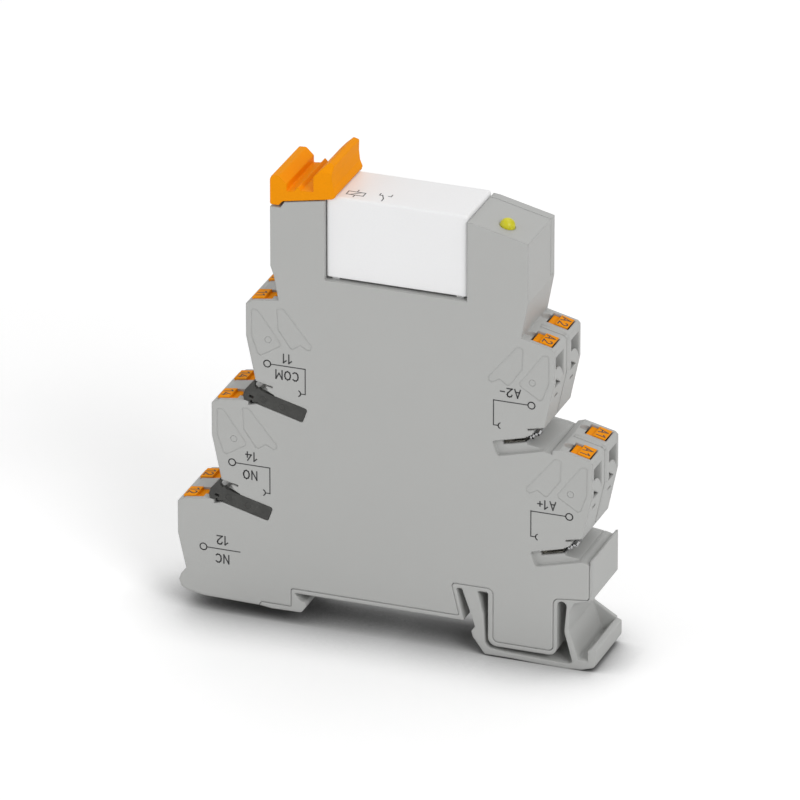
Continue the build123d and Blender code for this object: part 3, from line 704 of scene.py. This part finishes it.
def finish(piece: bpy.types.Object, material: bpy.types.Material, body: str, slot: str | None = None) -> None:
    """Dresses a new piece and ties it to its body.

    Args:
        piece: The piece.
        material: Its material.
        body: The CAD body it moves with.
        slot: Not used; the record's material slot that the piece belongs to.
    """
    piece.data.materials.clear()
    piece.data.materials.append(material)
    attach(piece, body)
    LOG.info("piece %s on %s, %d faces", piece.name, body, len(piece.data.polygons))


# Printing


# Strokes of each character, for a cap height of 1
GLYPHS: dict[str, list[list[Point]]] = {
    "1": [[(0.0, 0.74), (0.3, 1.0), (0.3, 0.0)]],
    "2": [[(0.02, 0.76), (0.1, 0.93), (0.3, 1.0), (0.5, 0.93), (0.58, 0.75), (0.5, 0.53), (0.0, 0.0),
           (0.6, 0.0)]],
    "4": [[(0.42, 1.0), (0.0, 0.3), (0.64, 0.3)], [(0.46, 0.62), (0.46, 0.0)]],
    "A": [[(0.0, 0.0), (0.33, 1.0), (0.66, 0.0)], [(0.12, 0.32), (0.54, 0.32)]],
    "C": [[(0.58, 0.86), (0.42, 0.98), (0.2, 0.96), (0.04, 0.78), (0.0, 0.5), (0.04, 0.22), (0.2, 0.04),
           (0.42, 0.02), (0.58, 0.14)]],
    "M": [[(0.0, 0.0), (0.0, 1.0), (0.36, 0.35), (0.72, 1.0), (0.72, 0.0)]],
    "N": [[(0.0, 0.0), (0.0, 1.0), (0.58, 0.0), (0.58, 1.0)]],
    "O": [[(0.32, 1.0), (0.1, 0.88), (0.0, 0.62), (0.0, 0.38), (0.1, 0.12), (0.32, 0.0), (0.54, 0.12),
           (0.64, 0.38), (0.64, 0.62), (0.54, 0.88), (0.32, 1.0)]],
    "+": [[(0.0, 0.45), (0.52, 0.45)], [(0.26, 0.18), (0.26, 0.72)]],
    "-": [[(0.0, 0.45), (0.46, 0.45)]],
}


@dataclass(frozen=True)
class Pen:
    """Draws strokes as thin raised bars in the XY plane, in millimetres."""

    weight: float
    thickness: float = 0.04
    letter_gap: float = 0.3

    def bar(self, start: Point, end: Point) -> bpy.types.Object:
        """Draws one straight stroke.

        Args:
            start: One end.
            end: The other end.

        Returns:
            The bar, not yet joined to the rest of its print.
        """
        across, up = end[0] - start[0], end[1] - start[1]
        middle = ((start[0] + end[0]) / 2, (start[1] + end[1]) / 2, 0)
        clear_selection()
        bpy.ops.mesh.primitive_cube_add(size=1, location=middle, rotation=(0, 0, math.atan2(up, across)))
        bar = bpy.context.active_object
        bar.scale = (math.hypot(across, up) + self.weight, self.weight, self.thickness)
        return bar

    def path(self, points: list[Point]) -> list[bpy.types.Object]:
        """Draws strokes through a row of points and returns the bars."""
        return [self.bar(a, b) for a, b in zip(points, points[1:])]

    def arc(self, centre: Point, radius: float, start: float, end: float,
            steps: int) -> list[bpy.types.Object]:
        """Draws strokes along an arc.

        Args:
            centre: Middle of the arc.
            radius: Its radius.
            start: First angle in degrees.
            end: Last angle in degrees.
            steps: Number of strokes.

        Returns:
            The bars.
        """
        x, y = centre
        turns = [math.radians(start + (end - start) * i / steps) for i in range(steps + 1)]
        return self.path([(x + radius * math.cos(t), y + radius * math.sin(t)) for t in turns])

    def word(self, text: str, height: float, centre: Point, flip: bool = False) -> list[bpy.types.Object]:
        """Draws a word, centred on a point.

        Args:
            text: Characters that GLYPHS holds.
            height: Cap height.
            centre: Middle of the word.
            flip: Turn the word upside down.

        Returns:
            The bars.
        """
        widths = [max(p[0] for line in GLYPHS[c] for p in line) for c in text]
        cursor = -(sum(widths) + self.letter_gap * (len(text) - 1)) / 2
        scale = -height if flip else height
        bars = []
        for letter, width in zip(text, widths):
            for line in GLYPHS[letter]:
                bars += self.path([(centre[0] + scale * (cursor + u), centre[1] + scale * (v - 0.5))
                                   for u, v in line])
            cursor += width + self.letter_gap
        return bars


def lay_print(bars: list[bpy.types.Object], name: str, turn: Matrix, at: Vector) -> bpy.types.Object:
    """Joins strokes and lays them on a surface.

    Args:
        bars: The strokes, in millimetres in the XY plane.
        name: Name of the print.
        turn: Rotation from that plane to the surface.
        at: Place of the plane's origin in metres.

    Returns:
        The print, with its place in its mesh.
    """
    piece = settle(join(bars, name))
    piece.matrix_world = Matrix.Translation(at) @ turn.to_4x4() @ Matrix.Scale(MM, 4)
    return settle(piece)


@dataclass(frozen=True)
class Word:
    """A printed word: its text, the XZ point of its middle and its cap height."""

    text: str
    centre: Point
    height: float


@dataclass(frozen=True)
class Hook:
    """Part circle at the end of a contact symbol, between two angles in degrees."""

    centre: Point
    start: float
    end: float


# Sub-assemblies


@dataclass
class CadDress:
    """Gives every CAD node the finish of its material slot."""

    palette: Palette
    frame: dict

    def build(self) -> None:
        """Dresses the nodes one by one."""
        slots = {part["node"]: part["material_slot"] for part in self.frame["record"]["subparts"]}
        for name, node in self.frame["nodes"].items():
            material = self.palette.get(slots[name])
            node.data.materials.clear()
            node.data.materials.append(material)
            LOG.info("node %s in %s", name, material.name)


@dataclass
class PrintedSide:
    """Terminal numbers and contact symbols on the near side, which read from above the module."""

    palette: Palette
    pen: Pen = Pen(weight=0.25, letter_gap=0.32)
    line_pen: Pen = Pen(weight=0.2)
    words: tuple[Word, ...] = (
        Word("11", (-18.4, 46.5), 1.65), Word("COM", (-18.5, 43.2), 1.65),
        Word("14", (-25.5, 26.0), 1.65), Word("NO", (-25.7, 22.3), 1.65),
        Word("12", (-31.2, 8.3), 1.65), Word("NC", (-31.2, 4.6), 1.65),
        Word("A2-", (24.2, 46.55), 1.6), Word("A1+", (31.2, 25.5), 1.6))
    lines: tuple[tuple[Point, ...], ...] = (
        ((-21.6, 45.0), (-15.0, 45.0), (-15.0, 40.0), (-15.9, 40.0)),
        ((-28.5, 24.3), (-21.9, 24.3), (-21.9, 19.2), (-22.8, 19.2)),
        ((-34.2, 6.5), (-27.8, 6.5)),
        ((27.5, 44.7), (21.0, 44.7), (21.0, 39.8), (21.9, 39.8)),
        ((34.8, 23.9), (28.2, 23.9), (28.2, 18.9), (29.1, 18.9)))
    rings: tuple[Point, ...] = ((-22.3, 45.0), (-29.2, 24.3), (-34.9, 6.5), (28.2, 44.7), (35.5, 23.9))
    hooks: tuple[Hook, ...] = (
        Hook((-16.5, 40.0), -65, 65), Hook((-23.4, 19.2), -65, 65),
        Hook((22.5, 39.8), 115, 245), Hook((29.7, 18.9), 115, 245))
    ring_radius: float = 0.66
    ring_steps: int = 16
    hook_radius: float = 0.6
    hook_steps: int = 6

    def build(self) -> None:
        """Prints the numbers, then the symbols."""
        letters = []
        for word in self.words:
            letters += self.pen.word(word.text, word.height, word.centre, flip=True)
        self.lay(letters, "terminal_numbers")
        strokes = []
        for line in self.lines:
            strokes += self.line_pen.path(list(line))
        for centre in self.rings:
            strokes += self.line_pen.arc(centre, self.ring_radius, 0, 360, self.ring_steps)
        for hook in self.hooks:
            strokes += self.line_pen.arc(hook.centre, self.hook_radius, hook.start, hook.end, self.hook_steps)
        self.lay(strokes, "contact_symbols")

    def lay(self, bars: list[bpy.types.Object], name: str) -> None:
        """Lays a print on the near side.

        Args:
            bars: Its strokes.
            name: Its name.
        """
        piece = lay_print(bars, name, UPRIGHT, Vector((0, NEAR_Y, 0)))
        finish(piece, self.palette.get("dark_ink"), HOUSING_BODY)


@dataclass
class MouldingRings:
    """Small round moulding marks in the fields on the printed side."""

    palette: Palette
    places: tuple[Point, ...] = ((-22.15, 49.7), (-28.9, 29.0), (28.3, 49.1), (35.65, 28.3))
    depth: float = 0.13
    radius: float = 0.6
    thickness: float = 0.05

    def build(self) -> None:
        """Models one ring, copies it to the other places and joins the rings."""
        first = self.ring()
        rings = [first] + [twin(first) for _ in self.places[1:]]
        for ring, (x, z) in zip(rings, self.places):
            ring.location = (x * MM, NEAR_Y + self.depth * MM, z * MM)
            settle(ring)
        marks = join(rings, "moulding_rings")
        finish(marks, self.palette.get("housing_grey"), HOUSING_BODY, "housing_grey")

    def ring(self) -> bpy.types.Object:
        """Models a ring that stands upright at the origin.

        Returns:
            The ring.
        """
        clear_selection()
        bpy.ops.mesh.primitive_torus_add(major_radius=self.radius * MM, minor_radius=self.thickness * MM,
                                         major_segments=32, minor_segments=8,
                                         rotation=(math.pi / 2, 0, 0))
        return settle(bpy.context.active_object)


@dataclass
class RelayPrint:
    """Generic coil and changeover symbols on the relay's top."""

    palette: Palette
    pen: Pen = Pen(weight=0.2)
    top: float = 79.45
    shift: float = -5.4
    coil: tuple[tuple[Point, ...], ...] = (
        ((-2.6, -3.0), (-2.6, -4.4), (0.6, -4.4), (0.6, -3.0), (-2.6, -3.0)),
        ((-1.9, -4.4), (-0.1, -3.0)),
        ((-1.0, -3.0), (-1.0, -2.1)),
        ((-1.0, -4.4), (-1.0, -5.2)))
    changeover: tuple[tuple[Point, ...], ...] = (
        ((4.4, -5.2), (4.4, -4.2), (3.7, -2.7)),
        ((3.2, -2.1), (3.2, -2.9), (3.7, -2.9)),
        ((5.4, -2.1), (5.4, -2.9), (4.9, -2.9)))

    def build(self) -> None:
        """Prints both symbols on the cap."""
        strokes = []
        for line in self.coil + self.changeover:
            strokes += self.pen.path(list(line))
        at = Vector((self.shift, 0, self.top)) * MM
        piece = lay_print(strokes, "relay_symbols", Matrix.Identity(3), at)
        finish(piece, self.palette.get("grey_ink"), RELAY_BODY)


@dataclass(frozen=True)
class LabelTop:
    """Sloped top of a button's label part: its heights over the block's corner and how far in it starts."""

    low: float
    high: float
    start: float
    end: float = 6.3

    def slope(self) -> float:
        """Returns the rise per millimetre."""
        return (self.high - self.low) / (self.end - self.start)


@dataclass
class TerminalNumbers:
    """Numbers printed on the label part of each push button."""

    palette: Palette
    tops: dict[Side, LabelTop] = field(default_factory=lambda: {
        Side.CONTACT: LabelTop(0.8, 1.5, 1.4), Side.COIL: LabelTop(0.5, 1.9, 0.5)})
    inward: float = 2.0
    proud: float = 0.2
    pen: Pen = Pen(weight=0.23, letter_gap=0.42)
    size: float = 1.7

    def build(self) -> None:
        """Prints the number on both buttons of each terminal."""
        for name, terminal in TERMINALS.items():
            for row in Row:
                self.label(name, terminal, row)

    def label(self, name: str, terminal: Terminal, row: Row) -> None:
        """Prints the number on one button.

        Args:
            name: The terminal's name.
            terminal: The terminal.
            row: The button's row.
        """
        label = self.tops[terminal.side]
        rise = label.low + label.slope() * (self.inward - label.start) + self.proud
        x, z = terminal.at(self.inward, -rise)
        tilt = math.atan(label.slope()) * terminal.side.value
        turn = Matrix.Rotation(tilt, 3, "Y") @ READ_ACROSS
        key = f"{name}_{row.name.lower()}"
        bars = self.pen.word(name.upper(), self.size, (0.0, 0.0))
        number = lay_print(bars, f"button_number_{key}", turn, Vector((x, row.value, z)) * MM)
        finish(number, self.palette.get("dark_ink"), f"button_{key}")


@dataclass
class SlotPartitions:
    """Dark covers, thin beside the hooked mouth, so that light falls through the slot."""

    palette: Palette
    nodes: dict[str, bpy.types.Object]
    over: dict[str, str] = field(default_factory=lambda: {"12": "14", "14": "11"})
    size: tuple[float, float, float] = (5.4, 5.6, 8.0)
    hook: float = -0.75
    plate: float = 0.86

    def build(self) -> None:
        """Cuts a copy of each cover behind its plate."""
        for name, above in self.over.items():
            node = self.nodes[f"slot_cover_{name}"]
            piece = merged_copy(node, f"slot_partition_{name}")
            self.thin(piece, TERMINALS[above])
            finish(piece, self.palette.get("cover_black"), HOUSING_BODY, "cover_black")
            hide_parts(node.name)

    def thin(self, piece: bpy.types.Object, terminal: Terminal) -> None:
        """Takes away what lies behind the plate, inwards of the hook.

        Args:
            piece: The copied cover.
            terminal: The terminal over its slot.
        """
        wide, deep, _ = self.size
        x, z = terminal.slot_at(self.hook + wide / 2, 0.0)
        y = self.plate + deep / 2
        clear_selection()
        bpy.ops.mesh.primitive_cube_add(size=1, location=(x * MM, NEAR_Y + y * MM, z * MM))
        cutter = bpy.context.active_object
        cutter.scale = Vector(self.size) * MM
        settle(cutter)
        only(piece)
        cut = piece.modifiers.new("cut", "BOOLEAN")
        cut.operation = "DIFFERENCE"
        cut.solver = "EXACT"
        cut.object = cutter
        bpy.ops.object.modifier_apply(modifier=cut.name)
        only(cutter)
        bpy.ops.object.delete()


@dataclass
class ContactMouths:
    """Bent metal lips of the bridge contacts, seen in the two open slots at the coil end."""

    palette: Palette
    terminals: tuple[str, ...] = ("a2", "a1")
    lip: tuple[Point, ...] = ((4.6, 2.75), (3.3, 2.8), (2.6, 3.0), (2.3, 2.1), (1.5, 2.2), (1.1, 1.4))
    middle: float = 2.2
    pen: Pen = Pen(weight=0.36, thickness=2.2)

    def build(self) -> None:
        """Bends one lip for each slot, just behind the near face."""
        bars = []
        for name in self.terminals:
            bars += self.pen.path([TERMINALS[name].slot_at(u, w) for u, w in self.lip])
        lips = lay_print(bars, "contact_mouths", UPRIGHT, Vector((0, NEAR_Y + self.middle * MM, 0)))
        finish(lips, self.palette.get("spring_steel"), HOUSING_BODY, "strip_metal")


@dataclass
class EndRibs:
    """Low rib over the top and down the end of each coil terminal, between its two points."""

    palette: Palette
    inner: dict[str, float] = field(default_factory=lambda: {"a1": 5.8, "a2": 4.9})
    low: float = 0.5
    slope: float = 0.241
    foot: tuple[Point, ...] = ((0.0, 6.3), (1.7, 14.4))
    pen: Pen = Pen(weight=0.2, thickness=1.0)

    def build(self) -> None:
        """Lays the ribs as one piece."""
        bars = []
        for name, inner in self.inner.items():
            rise = self.low + self.slope * (inner - self.low)
            corners = [(inner, -rise), (self.low, -self.low), (0.0, 0.0), *self.foot]
            bars += self.pen.path([TERMINALS[name].at(u, w) for u, w in corners])
        ribs = lay_print(bars, "end_ribs", UPRIGHT, Vector((0, 0, 0)))
        finish(ribs, self.palette.get("housing_grey"), HOUSING_BODY, "housing_grey")


@dataclass
class ClampSprings:
    """Leaf springs under the push buttons, copied from the CAD nodes."""

    palette: Palette
    nodes: dict[str, bpy.types.Object]
    seat: float = 13.15
    keep: float = 0.8

    def build(self) -> None:
        """Copies each spring in place of its node."""
        for name, terminal in TERMINALS.items():
            for row in Row:
                self.spring(f"{name}_{row.name.lower()}")

    def spring(self, key: str) -> None:
        """Makes the spring of one push button.

        Args:
            key: Name of the terminal and the row.
        """
        node = self.nodes[f"clamp_spring_{key}"]
        piece = merged_copy(node, f"leaf_spring_{key}")
        finish(piece, self.palette.get("spring_steel"), HOUSING_BODY, "spring_steel")
        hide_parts(node.name)
        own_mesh(piece)


# Studio


@dataclass(frozen=True)
class SoftLamp:
    """A square area lamp, with its place and size in metres."""

    name: str
    energy: float
    size: float
    at: tuple[float, float, float]


@dataclass
class Studio:
    """Pale floor, soft light and the camera at the photograph's angle: angles in degrees, lens in mm."""

    floor_z: float = -6.4 * MM
    floor_size: float = 6.0
    paper: tuple[Colour, Colour] = ((0.93, 0.93, 0.93), (0.96, 0.96, 0.96))
    shadow_reach: float = 0.016
    shadow_tone: Colour = (0.16, 0.16, 0.16)
    camera_glow: float = 0.17
    sky: float = 0.45
    lamps: tuple[SoftLamp, ...] = (
        SoftLamp("key", 10.3, 0.7, (1.05, -0.85, 0.95)), SoftLamp("fill", 4.2, 1.2, (-1.1, -0.7, 0.5)),
        SoftLamp("top", 4.0, 1.0, (0.1, 0.3, 1.3)), SoftLamp("back", 2.0, 1.2, (-0.3, 1.2, 0.7)))
    azimuth: float = 20.2
    elevation: float = 24.7
    distance: float = 2.01
    lens: float = 502.0
    sensor: float = 36.0
    far_clip: float = 20.0
    aim: tuple[float, float, float] = (0.0006, 0.0, 0.0384)

    def build(self) -> None:
        """Sets up floor, world, lamps and camera."""
        self.lay_floor()
        self.light_world()
        for lamp in self.lamps:
            self.hang(lamp)
        self.place_camera()
        bpy.context.scene.view_settings.view_transform = "Standard"

    def lay_floor(self) -> None:
        """Lays a wide floor of pale paper."""
        clear_selection()
        bpy.ops.mesh.primitive_plane_add(size=self.floor_size, location=(0, 0, self.floor_z))
        floor = settle(bpy.context.active_object)
        floor.name = "studio_floor"
        floor.data.materials.append(self.floor_paper())

    def floor_paper(self) -> bpy.types.Material:
        """Paper that the camera sees as white, darker where the object is close.

        Returns:
            The material.
        """
        material, tree, shader = start_material("floor_paper")
        noise = add_node(tree, "ShaderNodeTexNoise")
        noise.inputs["Scale"].default_value = 40.0
        place = add_node(tree, "ShaderNodeTexCoord")
        tree.links.new(place.outputs["Object"], noise.inputs["Vector"])
        body = mix_colour(tree, noise.outputs[0], *self.paper)
        near = add_node(tree, "ShaderNodeAmbientOcclusion", samples=8)
        near.inputs["Distance"].default_value = self.shadow_reach
        open_sky = ramp(tree, near.outputs["AO"], 0.25, 0.97)
        tree.links.new(mix_colour(tree, open_sky, self.shadow_tone, body), shader.inputs["Base Color"])
        shader.inputs["Roughness"].default_value = 0.9
        shader.inputs["Specular IOR Level"].default_value = 0.1
        glow = add_node(tree, "ShaderNodeEmission")
        glow.inputs["Color"].default_value = (1, 1, 1, 1)
        seen = add_node(tree, "ShaderNodeLightPath").outputs["Is Camera Ray"]
        share = maths(tree, "MULTIPLY", maths(tree, "MULTIPLY", seen, self.camera_glow), open_sky)
        tree.links.new(share, glow.inputs["Strength"])
        both = add_node(tree, "ShaderNodeAddShader")
        tree.links.new(shader.outputs[0], both.inputs[0])
        tree.links.new(glow.outputs[0], both.inputs[1])
        tree.links.new(both.outputs[0], tree.nodes["Material Output"].inputs["Surface"])
        return material

    def light_world(self) -> None:
        """Makes the world white to the camera, also through clear parts, and a grey light for the rest."""
        world = bpy.data.worlds.new("studio")
        bpy.context.scene.world = world
        world.use_nodes = True
        tree = world.node_tree
        path = add_node(tree, "ShaderNodeLightPath")
        seen = maths(tree, "MAXIMUM", path.outputs["Is Camera Ray"], path.outputs["Is Transmission Ray"])
        back = tree.nodes["Background"]
        back.inputs["Color"].default_value = (1, 1, 1, 1)
        tree.links.new(ramp(tree, seen, 0.0, 1.0, self.sky, 1.0), back.inputs["Strength"])

    def hang(self, lamp: SoftLamp) -> None:
        """Adds a lamp that points at the module.

        Args:
            lamp: The lamp.
        """
        clear_selection()
        bpy.ops.object.light_add(type="AREA", location=lamp.at)
        light = bpy.context.active_object
        light.name = lamp.name
        light.data.energy = lamp.energy
        light.data.size = lamp.size
        light.rotation_euler = (Vector(self.aim) - Vector(lamp.at)).to_track_quat("-Z", "Y").to_euler()

    def place_camera(self) -> None:
        """Places the long lens of the photograph, aimed at the middle of the module."""
        turn, rise = math.radians(self.azimuth), math.radians(self.elevation)
        out = Vector((math.sin(turn) * math.cos(rise), -math.cos(turn) * math.cos(rise), math.sin(rise)))
        clear_selection()
        bpy.ops.object.camera_add(location=Vector(self.aim) + out * self.distance)
        camera = bpy.context.active_object
        camera.data.lens = self.lens
        camera.data.sensor_width = self.sensor
        camera.data.clip_end = self.far_clip
        camera.rotation_euler = (-out).to_track_quat("-Z", "Y").to_euler()
        bpy.context.scene.camera = camera


def main(frame: dict) -> None:
    """Builds the scene in order.
    """
    palette = Palette()
    CadDress(palette, frame).build()
    PrintedSide(palette).build()
    MouldingRings(palette).build()
    RelayPrint(palette).build()
    TerminalNumbers(palette).build()
    SlotPartitions(palette, frame["nodes"]).build()
    ContactMouths(palette).build()
    EndRibs(palette).build()
    ClampSprings(palette, frame["nodes"]).build()
    Studio().build()


if __name__ == "__main__":
    logging.basicConfig(level=logging.INFO)
    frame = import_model()
    main(frame)
